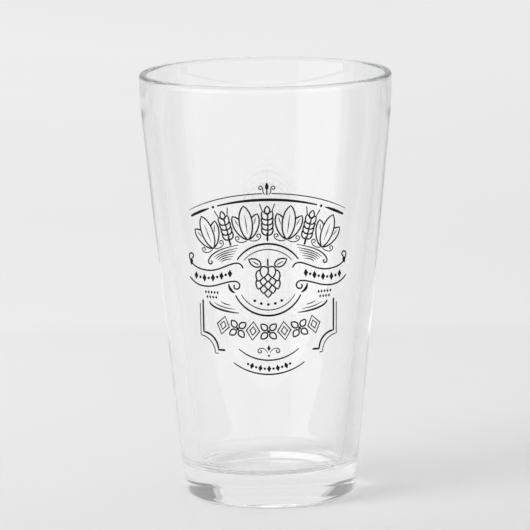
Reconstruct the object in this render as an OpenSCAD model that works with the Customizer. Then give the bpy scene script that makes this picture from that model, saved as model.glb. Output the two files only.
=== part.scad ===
// Pint glass with a label printed on it in one colour.
// +Z is up, the glass stands on Z = 0 round the Z axis, and the label faces -Y.
// The artwork is drawn flat as [u, v]: u runs along the wall to the right of the
// label's centre line and v is the height above the table, both in millimetres.

/* [Glass] */
// Height from the table to the top of the rim
height = 150.8; // [148:0.2:153]
// Outer diameter at the rim
rim_d = 88.9; // [87:0.1:91]
// Lean of the outer wall from upright, in degrees
taper = 5.8; // [5.4:0.1:6.2]
// Wall thickness at the rim
rim_wall = 2.6; // [2:0.1:3.2]
// Wall thickness just above the floor of the bowl
foot_wall = 6; // [5:0.1:7]
// Solid glass under the middle of the bowl, from the table up
floor_height = 11.2; // [10:0.2:14]
// Rounding of the heel, where the wall turns under
heel_r = 3.6; // [3:0.1:4.2]
// Rounding between the bowl's wall and its floor
bowl_fillet = 5; // [4:0.5:8]
// Height over which the wall straightens up to the rim
lip_height = 16; // [12:1:20]
// Depth of the recess under the base, just inside the bearing ring
punt_depth = 2.2; // [1.8:0.1:2.8]
// Width of the flat ring round the recess, which the glass stands on
bearing_w = 1.2; // [0.8:0.1:2.4]
// How much higher the middle of the recess is than its edge
punt_crown = 0.7; // [0.3:0.1:1]
// Rounding of the recess's upper corner
punt_round = 1; // [0.6:0.1:1.4]
// How far the recess's side leans out on its way down
punt_flare = 0.6; // [0.3:0.1:0.8]

/* [Print] */
// Thickness of the ink film
ink_t = 0.1; // [0.08:0.02:0.2]
// Width of the label's outlines
line_w = 0.54; // [0.44:0.02:0.6]
// Width of its thin rules
thin_w = 0.38; // [0.3:0.02:0.42]
// Width of its firm rules
firm_w = 0.7; // [0.6:0.02:0.8]
// Width of its heavy rules
bold_w = 1; // [0.9:0.05:1.1]

/* [Hidden] */

ink = [0.05, 0.05, 0.05];
clear = [0.93, 0.96, 0.95, 0.35];

// The outer wall is a cone up to lip_start, then an arc that ends upright at rim_z.
rim_r = rim_wall / 2;
rim_z = height - rim_r;
lip_start = rim_z - lip_height;
lip_arc_r = lip_height / sin(taper);
lip_start_r = rim_d / 2 - lip_arc_r * (1 - cos(taper));

// Radius of the straight part of the outer wall at height z
function wall_r(z) = lip_start_r - tan(taper) * (lip_start - z);

// The heel's arc runs down to the table at heel_foot_r, the outside of the bearing ring.
heel_foot_r = wall_r(heel_r) - heel_r / cos(taper);
punt_r = heel_foot_r - bearing_w - punt_flare - punt_round;

// ---------------------------------------------------------------- paths

// An arc from angle a0 to a1 in n steps, whose radius may run on to r1
function arc(centre, r0, a0, a1, n, r1 = undef) =
    [for (i = [0:n])
        let (t = i / n, a = a0 + (a1 - a0) * t, r = r0 + (is_undef(r1) ? 0 : r1 - r0) * t)
        centre + r * [cos(a), sin(a)]];

// A cubic Bezier curve in n steps
function bezier(a, b, c, d, n) =
    [for (i = [0:n])
        let (t = i / n, s = 1 - t)
        s * s * s * a + 3 * s * s * t * b + 3 * s * t * t * c + t * t * t * d];

function without_first(path) = [for (i = [1:len(path) - 1]) path[i]];

function without_last(path) = [for (i = [0:len(path) - 2]) path[i]];

// Paths laid end to end, each starting where the one before it stops
function joined(paths) =
    [for (k = [0:len(paths) - 1]) each k == 0 ? paths[k] : without_first(paths[k])];

function unit(v) = v / norm(v);

function left_of(v) = [-v.y, v.x];

// Direction of an open path at point i
function along(path, i) = unit(path[min(i + 1, len(path) - 1)] - path[max(i - 1, 0)]);

// Direction of a closed path at point i
function along_closed(path, i) =
    let (n = len(path))
    unit(path[(i + 1) % n] - path[(i + n - 1) % n]);

// A closed anticlockwise path moved outwards by d
function grown(path, d) =
    [for (i = [0:len(path) - 1]) path[i] - d * left_of(along_closed(path, i))];

// A path turned clockwise by a from upright and moved to a point
function placed(path, at, a = 0) =
    [for (p = path) at + [p.x * cos(a) + p.y * sin(a), p.y * cos(a) - p.x * sin(a)]];

// Closed anticlockwise shapes. A leaf stands on [0, 0] with its tip at [0, h].
function leaf(h, w, n = 8, low = 0.12, high = 0.62) =
    without_last(joined([
        bezier([0, 0], [w * 0.6, h * low], [w * 0.72, h * high], [0, h], n),
        bezier([0, h], [-w * 0.72, h * high], [-w * 0.6, h * low], [0, 0], n)
    ]));

function lozenge(h, w) = [[0, -h / 2], [w / 2, 0], [0, h / 2], [-w / 2, 0]];

function dot(r) = without_last(arc([0, 0], r, 0, 360, 12));

// ---------------------------------------------------------------- flat drawing

// How far a stroke's round end stands out, as a share of its half width
end_bulge = 0.7;

// Half width of a stroke at share t of its length, where ends gives the share of
// the full width that is left at its start and at its end
function half_width(w, t, ends) =
    let (e = ends[t < 0.5 ? 0 : 1])
    w / 2 * (e + (1 - e) * sin(180 * t));

// Outline of a stroke along an open path, with blunt round ends
function stroke_outline(path, w, ends) =
    let (
        n = len(path) - 1,
        half = [for (i = [0:n]) half_width(w, i / n, ends)],
        side = [for (i = [0:n]) half[i] * left_of(along(path, i))],
        nose = end_bulge * half[n] * along(path, n),
        tail = end_bulge * half[0] * along(path, 0)
    )
    concat(
        [for (i = [0:n]) path[i] + side[i]],
        [path[n] + nose + side[n] / 2, path[n] + nose - side[n] / 2],
        [for (i = [n:-1:0]) path[i] - side[i]],
        [path[0] - tail - side[0] / 2, path[0] - tail + side[0] / 2]
    );

// Where an artwork point falls on the wall, seen straight from the front
function wrapped(p) =
    let (r = wall_r(p.y))
    [r * sin(p.x / r * 180 / PI), p.y];

module solid(path) polygon([for (p = path) wrapped(p)]);

module stroke(path, w = line_w, ends = [1, 1]) solid(stroke_outline(path, w, ends));

module outline(path, w = line_w)
    difference() {
        solid(grown(path, w / 2));
        solid(grown(path, -w / 2));
    }

// Outlined shapes where each one hides the part of the later ones that it covers
module overlapped(shapes)
    for (k = [0:len(shapes) - 1])
        difference() {
            outline(shapes[k]);
            for (j = [0:k - 1]) solid(shapes[j]);
        }

module on_right() children();

module on_left() mirror([1, 0]) children();

// ---------------------------------------------------------------- ink on the wall

label_bottom = 44;
label_top = 122;
beyond = 1;

// A skin of ink that lies on the cone of the outer wall
module ink_skin()
    difference() {
        translate([0, 0, label_bottom])
            cylinder(
                h = label_top - label_bottom,
                r1 = wall_r(label_bottom) + ink_t,
                r2 = wall_r(label_top) + ink_t,
                $fn = 256
            );
        translate([0, 0, label_bottom - beyond])
            cylinder(
                h = label_top - label_bottom + 2 * beyond,
                r1 = wall_r(label_bottom - beyond),
                r2 = wall_r(label_top + beyond),
                $fn = 256
            );
    }

module printed()
    color(ink)
        intersection() {
            ink_skin();
            rotate([90, 0, 0]) linear_extrude(rim_d) children();
        }

// ---------------------------------------------------------------- the glass

// Outside of the half section, from the bearing ring to the inside of the rim
function outer_profile() =
    concat(
        arc([heel_foot_r, heel_r], heel_r, -90, -taper, 10),
        arc([rim_d / 2 - lip_arc_r, rim_z], lip_arc_r, -taper, 0, 10),
        without_first(arc([rim_d / 2 - rim_r, rim_z], rim_r, 0, 180, 16))
    );

// Inside of the half section, from the top of the fillet to the axis. The bowl's
// wall runs straight from the rim to a point foot_wall inside the outer wall.
function inner_profile() =
    let (
        top = [rim_d / 2 - rim_wall, rim_z],
        foot = [wall_r(floor_height) - foot_wall, floor_height],
        slope = (top.x - foot.x) / (top.y - foot.y),
        lean = atan(slope),
        centre = [foot.x + slope * bowl_fillet - bowl_fillet / cos(lean),
                  floor_height + bowl_fillet]
    )
    concat(arc(centre, bowl_fillet, -lean, -90, 10), [[0, floor_height]]);

// Recess under the base, from the axis out to the bearing ring
function punt_profile() =
    let (dome_r = (punt_r * punt_r + punt_crown * punt_crown) / (2 * punt_crown))
    concat(
        arc([0, punt_depth + punt_crown - dome_r], dome_r, 90, 90 - asin(punt_r / dome_r), 8),
        without_first(arc([punt_r, punt_depth - punt_round], punt_round, 90, 0, 6)),
        [[heel_foot_r - bearing_w, 0]]
    );

module glass_body()
    color(clear)
        rotate_extrude($fn = 180)
            polygon(concat(punt_profile(), outer_profile(), inner_profile()));

// ---------------------------------------------------------------- head of the label

// The rules and the frieze at the head are rings round one centre
arch_centre = [0, 48];
thin_arch_r = 65.6;
bold_arch_r = 63.4;
frieze_r = 49.4;

function on_arch(r, a) = arch_centre + r * [sin(a), cos(a)];

function arch(r, a0, a1, n) = arc(arch_centre, r, 90 - a0, 90 - a1, n);

module finial_curl()
    stroke(joined([
        bezier([0.85, 113.4], [1.6, 113.8], [1.2, 115.3], [1.55, 115.8], 6),
        arc([2.2, 115.5], 0.78, 150, -150, 14, 0.36)
    ]), thin_w);

module print_finial()
    printed() {
        solid(placed(leaf(2.7, 1.3, 6), [0, 114.8]));
        stroke([[0, 113.3], [0, 114.7]]);
        on_right() finial_curl();
        on_left() finial_curl();
    }

module print_thin_arch()
    printed()
        for (s = [-1, 1]) stroke(arch(thin_arch_r, s * 1.5, s * 26.6, 26), thin_w, [1, 0.5]);

module print_bold_arch()
    printed() {
        stroke(arch(bold_arch_r, -16.2, 16.2, 36), bold_w, [0.5, 0.5]);
        for (s = [-1, 1]) {
            solid(placed(dot(0.5), on_arch(bold_arch_r, s * 17.8)));
            stroke(arch(bold_arch_r, s * 19.4, s * 26.6, 12), bold_w, [0.4, 0.8]);
        }
    }

// The frieze sets palmettes and barley ears turn about
frieze_pitch = 7.7;

// Turn from upright, height and width of each petal of a palmette, front one first
petals = [[0, 12, 4.6], [27, 9.8, 3.8], [-27, 9.8, 3.8]];

// Scroll at the foot of a palmette, on its right
foot_scroll = joined([
    bezier([0.5, -0.3], [2, -1], [4.3, -0.8], [4.5, 0.9], 9),
    arc([3.7, 0.9], 0.8, 0, 270, 12, 0.4)
]);

module palmette(at, heading) {
    overlapped([
        for (petal = petals)
            placed(leaf(petal[1], petal[2], 9, 0.16, 0.8), at, heading + petal[0])
    ]);
    stroke(placed([[0, 2.4], [0, 5.4], [0, 8.8]], at, heading), thin_w, [0.4, 0.4]);
    for (s = [-1, 1])
        stroke(
            placed([[s * 2.7, 5.2], [s * 3.3, 6.4], [s * 3.7, 7.5]], at, heading),
            thin_w,
            [0.4, 0.4]
        );
    for (s = [-1, 1])
        stroke(placed([for (p = foot_scroll) [s * p.x, p.y]], at, heading), thin_w, [0.8, 1]);
}

module print_palmettes()
    printed()
        for (i = [-3:2:3])
            palmette(on_arch(frieze_r + 0.3, i * frieze_pitch), i * frieze_pitch);

module barley_ear(foot_r, heading) {
    stroke([on_arch(foot_r - 0.4, heading), on_arch(foot_r + 2.2, heading)], firm_w);
    overlapped([
        for (k = [3:-1:0], s = [-1, 1])
            placed(
                leaf(3.4, 2.1, 6),
                on_arch(foot_r + 1.5 + 1.8 * k, heading + 0.2 * s),
                heading + s * 27
            )
    ]);
    outline(placed(leaf(3, 1.9, 6), on_arch(foot_r + 8.8, heading), heading));
    for (s = [-1, 1])
        stroke(
            [on_arch(foot_r + 10.2, heading + s * 1.7), on_arch(foot_r + 12.6, heading + s * 2.4)],
            thin_w
        );
}

module print_barley_ears()
    printed()
        for (i = [-2:2:2]) barley_ear(frieze_r, i * frieze_pitch);

// ---------------------------------------------------------------- hatching

hatch_lines = 5;

module hatching_art() {
    stroke(joined([
        bezier([10.2, 95.3], [15.5, 94.2], [20.6, 92.3], [21.6, 89.1], 12),
        arc([20.7, 88.8], 0.95, 18, -230, 12, 0.45)
    ]), line_w, [0.4, 1]);
    for (k = [1:hatch_lines])
        stroke(
            bezier(
                [9.9 + 0.55 * k, 95.1 - 0.96 * k],
                [13.6 + 0.3 * k, 94.4 - 0.9 * k],
                [17.6 - 0.3 * k, 93 - 0.66 * k],
                [20.4 - 0.8 * k, 90.6 - 0.36 * k],
                9
            ),
            thin_w,
            [0.4, 0.4]
        );
}

module print_hatching_left() printed() on_left() hatching_art();

module print_hatching_right() printed() on_right() hatching_art();

// ---------------------------------------------------------------- medallion

ring_centre = [0, 83];
outer_ring_r = 12.8;
inner_ring_r = 10.8;
stud_ring_r = 8.8;

module print_ring_upper()
    printed() {
        stroke(arc(ring_centre, outer_ring_r, 34, 146, 36), firm_w, [0.7, 0.7]);
        stroke(arc(ring_centre, inner_ring_r, 40, 140, 28), thin_w, [0.7, 0.7]);
    }

module print_ring_lower()
    printed() {
        stroke(arc(ring_centre, outer_ring_r, -153, -27, 40), firm_w, [0.7, 0.7]);
        stroke(arc(ring_centre, inner_ring_r, -150, -30, 32), thin_w, [0.7, 0.7]);
    }

// Bracts from the top down: each row's height above the ring's centre and where its
// bracts stand across the cone
bract_rows = [
    [4.7, [-1.2, 1.2]],
    [3.3, [0, -2.6, 2.6]],
    [1.9, [-1.35, 1.35]],
    [0.5, [0, -2.6, 2.6]],
    [-0.9, [-1.3, 1.3]],
    [-2.3, [0]]
];

module hop_cone_art() {
    stroke([[0, 5], [0, 6], [0, 7.4]]);
    overlapped([
        for (row = bract_rows, u = row[1])
            placed(leaf(4, 2.9, 7, -0.06, 0.62), [u * 0.86, row[0]], 180 - u * 7)
    ]);
    for (s = [-1, 1]) {
        outline(placed(leaf(4.8, 2.7, 8), [s * 2.4, 5], s * 62));
        stroke([[s * 3.3, 5.4], [s * 4.3, 5.95], [s * 5.3, 6.5]], thin_w, [1, 0.5]);
    }
}

module print_hop_cone() printed() translate(ring_centre) hop_cone_art();

module print_ring_studs()
    printed()
        for (a = [-32:16:32])
            solid(placed(dot(0.5), ring_centre + stud_ring_r * [sin(a), -cos(a)]));

// ---------------------------------------------------------------- ribbons

module ribbon_art() {
    stroke(joined([
        bezier([8.7, 87.2], [9.2, 88.8], [10.6, 89.1], [12.2, 88.6], 7),
        bezier([12.2, 88.6], [15.2, 87.7], [18, 85.6], [22.2, 85.7], 10),
        bezier([22.2, 85.7], [26, 85.8], [29.6, 87], [30, 90], 10),
        arc([28.9, 90.3], 1.15, 0, 250, 12, 0.7)
    ]), line_w);
    solid(placed(leaf(2.6, 1.4, 6), [28.9, 89.5], 172));
    stroke(joined([
        bezier([29.9, 82.6], [27.6, 80.2], [24.4, 79.5], [20.6, 80.1], 10),
        bezier([20.6, 80.1], [17.2, 80.7], [14, 82.5], [11.3, 82.3], 10),
        arc([11.3, 80.6], 1.7, 90, 390, 16, 0.6)
    ]), line_w);
    stroke(bezier([13.9, 81.2], [13.8, 79.7], [13, 78.7], [11.8, 78.2], 7), bold_w, [0.4, 0.4]);
}

module print_ribbon_left() printed() on_left() ribbon_art();

module print_ribbon_right() printed() on_right() ribbon_art();

// Lozenges and dots turn about along the middle of a ribbon, one at each point
ribbon_beads = bezier([13.4, 85], [17.6, 83.7], [22.2, 81.9], [27, 83.5], 8);

module ribbon_bead_art()
    for (i = [0:len(ribbon_beads) - 1])
        solid(placed(i % 2 == 0 ? lozenge(3, 1.7) : dot(0.5), ribbon_beads[i]));

module print_ribbon_beads_left() printed() on_left() ribbon_bead_art();

module print_ribbon_beads_right() printed() on_right() ribbon_bead_art();

// ---------------------------------------------------------------- beside the ring

// Two rows of small lozenges, five over four, that start at side_beads
side_beads = [18.2, 77.9];
side_bead_pitch = 1.2;
side_bead_drop = 1.7;

module side_bead_art()
    for (row = [0, 1], i = [0:4 - row])
        solid(placed(
            lozenge(1.3, 0.9),
            side_beads + [side_bead_pitch * (i + row / 2), -side_bead_drop * row]
        ));

module print_side_beads_left() printed() on_left() side_bead_art();

module print_side_beads_right() printed() on_right() side_bead_art();

module sweep_art() {
    stroke(
        bezier([21.5, 74.4], [20.9, 72.3], [14.6, 71.2], [10.4, 71], 12),
        firm_w,
        [0.8, 0.4]
    );
    stroke(bezier([19.6, 74.3], [17.6, 73], [14.2, 72.4], [11.8, 72.3], 8), thin_w, [0.4, 0.4]);
    stroke(bezier([17, 74.8], [16, 74.2], [14.6, 73.8], [13.4, 73.7], 6), thin_w, [0.4, 0.4]);
}

module print_sweeps_left() printed() on_left() sweep_art();

module print_sweeps_right() printed() on_right() sweep_art();

// ---------------------------------------------------------------- foot of the label

// Two rules with a notched corner, drawn round the corner's own centre
notch = [24.3, 57.4];
notch_r = 6;
rule_gap = 1.3;

module corner_rule(gap, top, w)
    stroke(concat(
        [[notch.x + gap, top], [notch.x + gap, (top + notch.y + notch_r) / 2]],
        arc(notch + [gap, -gap], notch_r, 90, 180, 14),
        [[notch.x - notch_r - 2.4 + 2 * gap, notch.y - gap]]
    ), w);

module bracket_art() {
    corner_rule(0, 74.8, firm_w);
    corner_rule(rule_gap, 73.4, thin_w);
}

module print_bracket_left() printed() on_left() bracket_art();

module print_bracket_right() printed() on_right() bracket_art();

// Lozenges and four-petalled flowers turn about on a hanging arc
band_centre = [0, 136.5];
band_r = 72;
band_pitch = 4.35;

module framed_lozenge(at, heading) {
    outline(placed(lozenge(6.6, 4.7), at, heading));
    outline(placed(lozenge(3.1, 2.2), at, heading));
}

module flower(at, heading) {
    solid(placed(dot(0.55), at));
    for (q = [45:90:315])
        outline(placed(leaf(2.9, 2.1), at + 0.8 * [sin(q + heading), cos(q + heading)], q + heading));
}

module print_lozenge_band()
    printed()
        for (i = [-3:3]) {
            a = i * band_pitch;
            at = band_centre + band_r * [sin(a), -cos(a)];
            if (i % 2 == 0) flower(at, -a);
            else framed_lozenge(at, -a);
        }

module flourish_art()
    stroke(joined([
        bezier([0.4, 56.8], [1.2, 58.8], [3.4, 59], [3.8, 57.6], 9),
        arc([3.05, 57.45], 0.76, 11, -240, 12, 0.36)
    ]), thin_w, [0.6, 1]);

module print_flourish()
    printed() {
        solid(placed(lozenge(2.3, 1.2), [0, 58.5]));
        solid(placed(dot(0.4), [0, 55.8]));
        on_right() flourish_art();
        on_left() flourish_art();
    }

module print_foot_rules()
    printed() {
        stroke(arc([0, 70.4], 16.2, -130, -50, 26), line_w, [0.7, 0.7]);
        stroke(arc([0, 70.9], 21.8, -125, -55, 30), line_w, [0.7, 0.7]);
    }

// Lozenges and dots turn about on an arc between the two rules
foot_bead_centre = [0, 68.2];
foot_bead_r = 17.1;
foot_bead_pitch = 5.1;

module print_foot_beads()
    printed()
        for (i = [-5:5]) {
            a = i * foot_bead_pitch;
            at = foot_bead_centre + foot_bead_r * [sin(a), -cos(a)];
            solid(placed(i % 2 == 0 ? lozenge(2.5, 1.5) : dot(0.45), at, -a));
        }

glass_body();
print_finial();
print_thin_arch();
print_bold_arch();
print_palmettes();
print_barley_ears();
print_hatching_left();
print_hatching_right();
print_ring_upper();
print_ring_lower();
print_hop_cone();
print_ring_studs();
print_ribbon_left();
print_ribbon_right();
print_ribbon_beads_left();
print_ribbon_beads_right();
print_side_beads_left();
print_side_beads_right();
print_sweeps_left();
print_sweeps_right();
print_bracket_left();
print_bracket_right();
print_lozenge_band();
print_flourish();
print_foot_rules();
print_foot_beads();
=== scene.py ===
"""Pint glass: a clear pressed-glass tumbler with a one-colour printed label.

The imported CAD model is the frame. The glass body is rebuilt here as a fine lathe mesh
on the same half section, and the printed ink keeps its CAD solids with a better material.
"""

import math

import bpy
from mathutils import Matrix, Vector


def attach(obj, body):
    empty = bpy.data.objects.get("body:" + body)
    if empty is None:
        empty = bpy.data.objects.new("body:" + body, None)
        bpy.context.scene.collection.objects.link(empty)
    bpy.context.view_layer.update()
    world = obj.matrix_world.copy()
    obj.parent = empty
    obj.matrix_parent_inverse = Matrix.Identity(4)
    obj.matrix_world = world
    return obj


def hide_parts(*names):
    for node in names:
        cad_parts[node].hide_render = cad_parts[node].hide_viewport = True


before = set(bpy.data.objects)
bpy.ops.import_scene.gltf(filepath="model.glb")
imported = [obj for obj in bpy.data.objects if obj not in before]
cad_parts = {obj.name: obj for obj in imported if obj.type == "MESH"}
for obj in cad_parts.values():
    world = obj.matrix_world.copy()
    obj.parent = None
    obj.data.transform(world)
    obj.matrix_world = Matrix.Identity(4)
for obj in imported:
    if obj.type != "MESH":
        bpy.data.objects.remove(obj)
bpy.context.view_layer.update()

MM = 0.001
WHITE = (1, 1, 1, 1)

# ------------------------------------------------------------------ the glass

# Its half section, in millimetres, as in the CAD source. The punt is the recess underneath.
HEIGHT = 150.8
RIM_R = 44.45
TAPER = math.radians(5.8)
RIM_WALL = 2.6
FOOT_WALL = 6.0
FLOOR_HEIGHT = 11.2
HEEL_R = 3.6
BOWL_FILLET = 5.0
LIP_HEIGHT = 16.0
PUNT_DEPTH = 2.2
PUNT_CROWN = 0.7
BEARING_W = 1.2
PUNT_ROUND = 1.0
PUNT_FLARE = 0.6

# How finely it is drawn: steps in each arc, the longest step in a straight stretch, in
# millimetres, and steps round the axis
CROWN_STEPS = 20
PUNT_ROUND_STEPS = 6
HEEL_STEPS = 16
LIP_STEPS = 12
BEAD_STEPS = 24
FILLET_STEPS = 16
RING_STEP = 2.5
SEGMENTS = 288

# ------------------------------------------------------------------ the materials

# Noise scales are per metre, depths are in metres, and a range is the part of the noise
# that makes a difference.
NOISE_RANGE = (0.3, 0.7)

GLASS_IOR = 1.52
GLASS_TINT = (0.94, 0.944, 0.943, 1)
GLASS_DENSITY = 14
GLASS_HAZE = 0.006
GLASS_HAZE_SCALE = 55
GLASS_HAZE_RANGE = (0.5, 0.8)
GLASS_WAVE = 2.5e-6
GLASS_WAVE_SCALE = 70

INK_DARK = (0.002, 0.002, 0.0022, 1)
INK_PALE = (0.012, 0.012, 0.0125, 1)
INK_PATCH_SCALE = 900
INK_PATCH_RANGE = (0.3, 0.75)
INK_ROUGHNESS = (0.42, 0.6)
INK_GLOSS_SCALE = 1500
INK_SPECULAR = 0.1
INK_PIT_DEPTH = 2e-5
INK_PIT_STRENGTH = 0.5
INK_PIT_SCALE = 5200

# Each row of the table below is an axis, the stretch of it in metres over which the floor's
# tone changes, and what it adds to the tone before and after that stretch. Besides the floor's
# own pale tone, these rows paint light and shade into it: darker towards the viewer, at both
# sides and to the right, with a lighter step and rise far behind.
FLOOR_MOTTLE = 0.006
FLOOR_MOTTLE_SCALE = 3.5
FLOOR_ROUGHNESS = 0.6
FLOOR_TONE_AND_PAINTED_LIGHT = [
    ("Y", (-0.25, 0.3), (0.612, 0.713)),
    ("Y", (0.31, 0.36), (0, 0.026)),
    ("Y", (0.3, 1.5), (0, 0.1)),
    ("X", (-0.2, 0.2), (0.006, -0.008)),
    ("X", (-0.32, -0.19), (-0.1, 0)),
    ("X", (0.19, 0.32), (0, -0.06)),
]

# ------------------------------------------------------------------ the studio

# Plain light comes from all round, and a soft key light from the front left. Places and
# sizes are in metres, and the key's power is in watts. The floor lies just under the foot.
FLOOR_HALF_WIDTH = 6
FLOOR_DROP = 0.00005
WORLD_LIGHT = 0.95
KEY_AT = (-1.2, -0.7, 0.82)
KEY_AIM = (0, 0, 0.06)
KEY_SIZE = (0.9, 0.9)
KEY_POWER = 13

# Panels stand round the glass, and nothing else sees them. Each has its azimuths at its
# foot and at its top, its elevations, all in degrees, and its tone. Azimuth 0 is straight
# behind the glass, and turns towards +X are positive.
PANEL_DISTANCE = 1.2
PANEL_ROWS = 6
PANEL_COLUMNS = 24
PANELS = [
    ("panel_back", (-39, 27), (-23, 24), (0.5, 22), 0.82),
    ("panel_half_left", (-43, -39), (-28, -23), (0.5, 22), 0.6),
    ("panel_half_right", (27, 32), (24, 29), (0.5, 22), 0.6),
    ("panel_side_left", (-66, -43), (-66, -28), (0.5, 22), 0.33),
    ("panel_side_right", (32, 66), (29, 66), (0.5, 22), 0.3),
    ("panel_mid_left", (-25, 0), (-25, 0), (22, 40), 1.3),
    ("panel_mid_right", (0, 25), (0, 25), (22, 40), 1.2),
    ("panel_dim_left", (-50, -25), (-50, -25), (22, 40), 0.3),
    ("panel_dim_right", (25, 50), (25, 50), (22, 40), 0.3),
    ("panel_far_left", (-100, -50), (-100, -50), (22, 40), 0.7),
    ("panel_far_right", (50, 100), (50, 100), (22, 40), 0.7),
    ("panel_high_left", (-100, 0), (-100, 0), (40, 80), 1.2),
    ("panel_high_right", (0, 100), (0, 100), (40, 80), 0.5),
    ("panel_edge_left", (-80, -66), (-80, -66), (0.5, 22), 0.6),
    ("panel_edge_right", (66, 80), (66, 80), (0.5, 22), 0.6),
    ("panel_bounce_left", (-93, -80), (-93, -80), (0, 22), 1.3),
    ("panel_bounce_right", (80, 93), (80, 93), (0, 22), 1.3),
    ("panel_softbox", (-147, -93), (-147, -93), (0, 14), 2.4),
    ("panel_front", (93, 213), (93, 213), (0, 14), 1.7),
]

# Cards lie on the floor in front of the glass. Each has its azimuths, its reach from the
# axis and its tone, which fades to CARD_FADE_TONE over a stretch of Y.
CARD_LIFT = 0.001
CARD_FADE = (-0.08, -0.005)
CARD_FADE_TONE = 0.8
CARDS = [
    ("card_near", (90, 270), (0.06, 0.19), 1.5),
    ("card_far", (90, 270), (0.19, 0.32), 1.25),
]

# The camera: where it stands, in metres, how it is turned, in degrees, and its lens and
# film width, in millimetres
CAMERA_AT = (0.0, -1.6738, 0.3574)
CAMERA_DOWN = 9.348
CAMERA_LEFT = 0.034
CAMERA_ROLL = 0.759
CAMERA_LENS = 325.84
CAMERA_FILM = 36
CAMERA_CLIP = (0.1, 50)

# Light goes round and round inside the wall, so it may bounce this many times.
LIGHT_BOUNCES = 256


# ------------------------------------------------------------------ mesh helpers


def new_object(name, data):
    """An object with this data, in the scene."""
    obj = bpy.data.objects.new(name, data)
    bpy.context.scene.collection.objects.link(obj)
    return obj


def new_mesh(name, verts, faces):
    mesh = bpy.data.meshes.new(name)
    mesh.from_pydata(verts, [], faces)
    return mesh


def arc(centre_x, centre_z, radius, start, stop, steps):
    """Points on a circular arc of the half section, angles in degrees."""
    points = []
    for i in range(steps + 1):
        a = math.radians(start + (stop - start) * i / steps)
        points.append((centre_x + radius * math.cos(a), centre_z + radius * math.sin(a)))
    return points


def stepped(points, longest):
    """The same line with its long stretches cut into even steps."""
    out = [points[0]]
    for (x0, z0), (x1, z1) in zip(points, points[1:]):
        n = max(1, math.ceil(math.hypot(x1 - x0, z1 - z0) / longest))
        out += [(x0 + (x1 - x0) * i / n, z0 + (z1 - z0) * i / n) for i in range(1, n + 1)]
    return out


def glass_section():
    """The half section from the middle of the underside, round the rim, to the bowl's floor."""
    slope = math.tan(TAPER)
    lean = math.degrees(TAPER)
    rim = RIM_WALL / 2
    rim_z = HEIGHT - rim
    lip_start = rim_z - LIP_HEIGHT
    lip_arc = LIP_HEIGHT / math.sin(TAPER)
    lip_start_r = RIM_R - lip_arc * (1 - math.cos(TAPER))

    def wall(z):
        return lip_start_r - slope * (lip_start - z)

    heel_foot = wall(HEEL_R) - HEEL_R / math.cos(TAPER)
    punt_r = heel_foot - BEARING_W - PUNT_FLARE - PUNT_ROUND
    crown_r = (punt_r**2 + PUNT_CROWN**2) / (2 * PUNT_CROWN)
    edge = math.degrees(math.asin(punt_r / crown_r))
    under = arc(0, PUNT_DEPTH + PUNT_CROWN - crown_r, crown_r, 90, 90 - edge, CROWN_STEPS)
    under += arc(punt_r, PUNT_DEPTH - PUNT_ROUND, PUNT_ROUND, 90, 0, PUNT_ROUND_STEPS)[1:]
    under += [(heel_foot - BEARING_W, 0.0)]
    heel = arc(heel_foot, HEEL_R, HEEL_R, -90, -lean, HEEL_STEPS)
    lip = arc(RIM_R - lip_arc, rim_z, lip_arc, -lean, 0, LIP_STEPS)
    bead = arc(RIM_R - rim, rim_z, rim, 0, 180, BEAD_STEPS)
    top = bead[-1]
    foot = (wall(FLOOR_HEIGHT) - FOOT_WALL, FLOOR_HEIGHT)
    inner_slope = (top[0] - foot[0]) / (top[1] - foot[1])
    inner_lean = math.atan(inner_slope)
    fillet = arc(
        foot[0] + inner_slope * BOWL_FILLET - BOWL_FILLET / math.cos(inner_lean),
        FLOOR_HEIGHT + BOWL_FILLET,
        BOWL_FILLET,
        -math.degrees(inner_lean),
        -90,
        FILLET_STEPS,
    )
    return stepped(under + heel + lip + bead[1:] + fillet + [(0.0, FLOOR_HEIGHT)], RING_STEP)


def lathe(name, section, segments):
    """A closed mesh turned round Z. The section starts and ends on the axis."""
    verts = [(0.0, 0.0, section[0][1] * MM)]
    rings = section[1:-1]
    for r, z in rings:
        for k in range(segments):
            a = 2 * math.pi * k / segments
            verts.append((r * math.cos(a) * MM, r * math.sin(a) * MM, z * MM))
    verts.append((0.0, 0.0, section[-1][1] * MM))
    last = len(verts) - 1
    faces = []
    for k in range(segments):
        n = (k + 1) % segments
        faces.append((0, 1 + n, 1 + k))
        for i in range(len(rings) - 1):
            a, b = 1 + i * segments, 1 + (i + 1) * segments
            faces.append((a + k, a + n, b + n, b + k))
        tail = 1 + (len(rings) - 1) * segments
        faces.append((tail + k, tail + n, last))
    mesh = new_mesh(name, verts, faces)
    mesh.validate()
    mesh.shade_smooth()
    return new_object(name, mesh)


# ------------------------------------------------------------------ node helpers


def new_material(name):
    mat = bpy.data.materials.new(name)
    mat.use_nodes = True
    tree = mat.node_tree
    return mat, tree, tree.nodes["Principled BSDF"]


def own_place(tree):
    """The object's own coordinates, in metres."""
    return tree.nodes.new("ShaderNodeTexCoord").outputs["Object"]


def own_axes(tree):
    """The same coordinates, one output for each axis."""
    axes = tree.nodes.new("ShaderNodeSeparateXYZ")
    tree.links.new(own_place(tree), axes.inputs["Vector"])
    return axes.outputs


def noise(tree, scale, detail, roughness=0.5):
    """Noise in the object's own coordinates."""
    texture = tree.nodes.new("ShaderNodeTexNoise")
    texture.inputs["Scale"].default_value = scale
    texture.inputs["Detail"].default_value = detail
    texture.inputs["Roughness"].default_value = roughness
    tree.links.new(own_place(tree), texture.inputs["Vector"])
    return texture.outputs["Fac"]


def spread(tree, value, source, target):
    """value, spread smoothly from the range source to the range target."""
    node = tree.nodes.new("ShaderNodeMapRange")
    node.interpolation_type = "SMOOTHSTEP"
    for key, number in zip(("From Min", "From Max", "To Min", "To Max"), source + target):
        node.inputs[key].default_value = number
    tree.links.new(value, node.inputs["Value"])
    return node.outputs["Result"]


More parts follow.
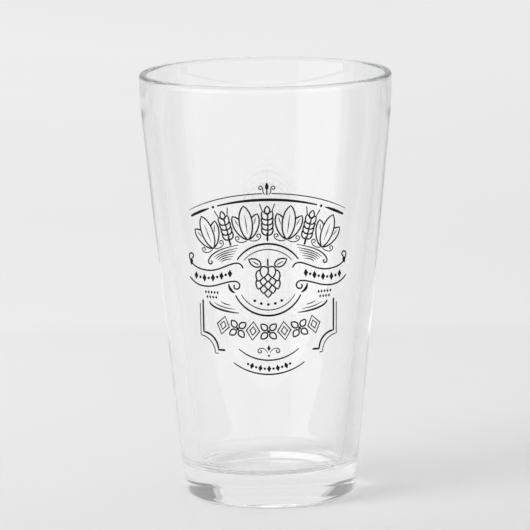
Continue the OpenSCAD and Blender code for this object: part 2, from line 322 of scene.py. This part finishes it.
def add(tree, a, b):
    node = tree.nodes.new("ShaderNodeMath")
    node.operation = "ADD"
    tree.links.new(a, node.inputs[0])
    tree.links.new(b, node.inputs[1])
    return node.outputs["Value"]


def bump(tree, bsdf, height, distance, strength=1.0):
    node = tree.nodes.new("ShaderNodeBump")
    node.inputs["Strength"].default_value = strength
    node.inputs["Distance"].default_value = distance
    tree.links.new(height, node.inputs["Height"])
    tree.links.new(node.outputs["Normal"], bsdf.inputs["Normal"])


# ------------------------------------------------------------------ materials


def glass_material():
    """Clear glass with the faint waviness and haze of pressed, fire-polished ware."""
    mat, tree, bsdf = new_material("clear_glass")
    bsdf.inputs["Base Color"].default_value = WHITE
    bsdf.inputs["Transmission Weight"].default_value = 1.0
    bsdf.inputs["IOR"].default_value = GLASS_IOR
    haze = noise(tree, GLASS_HAZE_SCALE, detail=3)
    roughness = spread(tree, haze, GLASS_HAZE_RANGE, (0.0, GLASS_HAZE))
    tree.links.new(roughness, bsdf.inputs["Roughness"])
    bump(tree, bsdf, noise(tree, GLASS_WAVE_SCALE, detail=1.5), GLASS_WAVE)
    body = tree.nodes.new("ShaderNodeVolumeAbsorption")
    body.inputs["Color"].default_value = GLASS_TINT
    body.inputs["Density"].default_value = GLASS_DENSITY
    tree.links.new(body.outputs["Volume"], tree.nodes["Material Output"].inputs["Volume"])
    return mat


def ink_material():
    """Fired screen-printing ink: nearly black, a little patchy and softly pitted."""
    mat, tree, bsdf = new_material("printed_ink")
    ramp = tree.nodes.new("ShaderNodeValToRGB")
    stops = ramp.color_ramp.elements
    stops[0].color, stops[1].color = INK_DARK, INK_PALE
    stops[0].position, stops[1].position = INK_PATCH_RANGE
    patches = noise(tree, INK_PATCH_SCALE, detail=4, roughness=0.6)
    tree.links.new(patches, ramp.inputs["Fac"])
    tree.links.new(ramp.outputs["Color"], bsdf.inputs["Base Color"])
    gloss = noise(tree, INK_GLOSS_SCALE, detail=3)
    tree.links.new(spread(tree, gloss, NOISE_RANGE, INK_ROUGHNESS), bsdf.inputs["Roughness"])
    bsdf.inputs["Specular IOR Level"].default_value = INK_SPECULAR
    bump(tree, bsdf, noise(tree, INK_PIT_SCALE, detail=2), INK_PIT_DEPTH, INK_PIT_STRENGTH)
    return mat


def floor_material():
    """A pale table top with painted light and shade: its tone falls off towards the viewer, at
    both sides and to the right, and rises far behind.
    """
    mat, tree, bsdf = new_material("studio_floor")
    axes = own_axes(tree)
    mottle = noise(tree, FLOOR_MOTTLE_SCALE, detail=4)
    tone = spread(tree, mottle, NOISE_RANGE, (-FLOOR_MOTTLE, FLOOR_MOTTLE))
    # Painted light and shade: these rows darken and lighten the floor's tone by where it lies
    for axis, stretch, tones in FLOOR_TONE_AND_PAINTED_LIGHT:
        tone = add(tree, tone, spread(tree, axes[axis], stretch, tones))
    shade = tree.nodes.new("ShaderNodeCombineColor")
    for key in ("Red", "Green", "Blue"):
        tree.links.new(tone, shade.inputs[key])
    tree.links.new(shade.outputs["Color"], bsdf.inputs["Base Color"])
    bsdf.inputs["Roughness"].default_value = FLOOR_ROUGHNESS
    bsdf.inputs["Specular IOR Level"].default_value = 0.0
    return mat


def glow_material(name, tone, floor_tone, fade):
    """Plain light of one tone for the glass and of another for light that meets the floor.

    fade, where there is one, is a stretch of Y over which the first tone falls to
    CARD_FADE_TONE.
    """
    mat, tree, bsdf = new_material(name)
    tree.nodes.remove(bsdf)
    path = tree.nodes.new("ShaderNodeLightPath")
    strength = tree.nodes.new("ShaderNodeMix")
    strength.inputs["A"].default_value = tone
    strength.inputs["B"].default_value = floor_tone
    if fade:
        faded = spread(tree, own_axes(tree)["Y"], fade, (tone, CARD_FADE_TONE))
        tree.links.new(faded, strength.inputs["A"])
    met_floor = spread(tree, path.outputs["Diffuse Depth"], (0, 1), (0, 1))
    tree.links.new(met_floor, strength.inputs["Factor"])
    glow = tree.nodes.new("ShaderNodeEmission")
    tree.links.new(strength.outputs["Result"], glow.inputs["Strength"])
    output = tree.nodes["Material Output"]
    tree.links.new(glow.outputs["Emission"], output.inputs["Surface"])
    return mat


# ------------------------------------------------------------------ studio pieces


def sheet(name, rows, tone, floor_tone=WORLD_LIGHT, fade=None):
    """A staged sheet of light through rows of points, seen only in and through the glass."""
    verts = [point for row in rows for point in row]
    wide = len(rows[0])
    faces = []
    for j in range(1, len(rows)):
        for i in range(1, wide):
            k = j * wide + i
            faces.append((k, k - 1, k - wide - 1, k - wide))
    mesh = new_mesh(name, verts, faces)
    mesh.materials.append(glow_material(name, tone, floor_tone, fade))
    obj = new_object(name, mesh)
    obj.visible_camera = obj.visible_diffuse = obj.visible_shadow = False
    return obj


def panel(name, low, high, rise, tone):
    """A part of a sphere round the glass.

    low and high are its spans of azimuth at its foot and at its top, and rise is its span
    of elevation, all in degrees.
    """
    rows = []
    for j in range(PANEL_ROWS + 1):
        t = j / PANEL_ROWS
        elevation = math.radians(rise[0] + (rise[1] - rise[0]) * t)
        start = low[0] + (high[0] - low[0]) * t
        stop = low[1] + (high[1] - low[1]) * t
        flat = PANEL_DISTANCE * math.cos(elevation)
        height = PANEL_DISTANCE * math.sin(elevation)
        row = []
        for i in range(PANEL_COLUMNS + 1):
            a = math.radians(start + (stop - start) * i / PANEL_COLUMNS)
            row.append((flat * math.sin(a), flat * math.cos(a), height))
        rows.append(row)
    sheet(name, rows, tone)


def card(name, turn, reach, tone):
    """A part of a ring that lies on the floor and shows only in the glass's outer face."""
    step = (turn[1] - turn[0]) / PANEL_COLUMNS
    turns = [math.radians(turn[0] + step * i) for i in range(PANEL_COLUMNS + 1)]
    rows = [[(r * math.sin(a), r * math.cos(a), CARD_LIFT) for a in turns] for r in reach]
    obj = sheet(name, rows, tone, fade=CARD_FADE)
    obj.visible_transmission = False


def area_light(name, at, aim, size, power):
    """A soft light that the floor meets as it is, and through the glass as a sheet.

    The glass itself shows plain room light in its place.
    """
    width, height = size
    data = bpy.data.lights.new(name, "AREA")
    data.shape = "RECTANGLE"
    data.size, data.size_y = width, height
    data.energy = power
    light = new_object(name, data)
    light.location = at
    light.rotation_euler = (Vector(aim) - Vector(at)).to_track_quat("-Z", "Y").to_euler()
    light.visible_camera = light.visible_glossy = light.visible_transmission = False
    turn = light.rotation_euler.to_matrix()
    rows = [
        [Vector(at) + turn @ Vector((x * width / 2, y * height / 2, 0)) for x in (-1, 1)]
        for y in (-1, 1)
    ]
    sheet(name + "_through_glass", rows, WORLD_LIGHT, power / (math.pi * width * height))


def camera_place():
    """Where the camera stands and how it is turned, as one matrix."""
    down, left, roll = (math.radians(a) for a in (CAMERA_DOWN, CAMERA_LEFT, CAMERA_ROLL))
    flat = math.cos(down)
    ahead = Vector((-math.sin(left) * flat, math.cos(left) * flat, -math.sin(down)))
    level = ahead.cross(Vector((0, 0, 1))).normalized()
    upright = level.cross(ahead)
    right = level * math.cos(roll) - upright * math.sin(roll)
    up = upright * math.cos(roll) + level * math.sin(roll)
    turn = Matrix((right, up, -ahead)).transposed()
    return Matrix.Translation(CAMERA_AT) @ turn.to_4x4()


# ------------------------------------------------------------------ building the object

glass = lathe("glass", glass_section(), SEGMENTS)
glass.data.materials.append(glass_material())
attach(glass, "root")
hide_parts("glass_body")

ink = ink_material()
for name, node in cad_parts.items():
    if name.startswith("print_"):
        node.data.materials.clear()
        node.data.materials.append(ink)

# ------------------------------------------------------------------ building the studio

corners = [
    (x * FLOOR_HALF_WIDTH, y * FLOOR_HALF_WIDTH, 0)
    for x, y in ((-1, -1), (1, -1), (1, 1), (-1, 1))
]
floor = new_object("studio_floor", new_mesh("studio_floor", corners, [(0, 1, 2, 3)]))
floor.location.z = -FLOOR_DROP
floor.data.materials.append(floor_material())

world = bpy.data.worlds.new("studio")
world.use_nodes = True
background = world.node_tree.nodes["Background"]
background.inputs["Color"].default_value = WHITE
background.inputs["Strength"].default_value = WORLD_LIGHT

for row in PANELS:
    panel(*row)
for row in CARDS:
    card(*row)
area_light("key", KEY_AT, KEY_AIM, KEY_SIZE, KEY_POWER)

camera_data = bpy.data.cameras.new("camera")
camera_data.sensor_width = CAMERA_FILM
camera_data.lens = CAMERA_LENS
camera_data.clip_start, camera_data.clip_end = CAMERA_CLIP
camera = new_object("camera", camera_data)
camera.matrix_world = camera_place()

scene = bpy.context.scene
scene.world = world
scene.camera = camera
scene.view_settings.view_transform = "Standard"
scene.cycles.max_bounces = LIGHT_BOUNCES
scene.cycles.transmission_bounces = LIGHT_BOUNCES
scene.cycles.glossy_bounces = LIGHT_BOUNCES
scene.cycles.blur_glossy = 0.0
scene.cycles.use_denoising = True
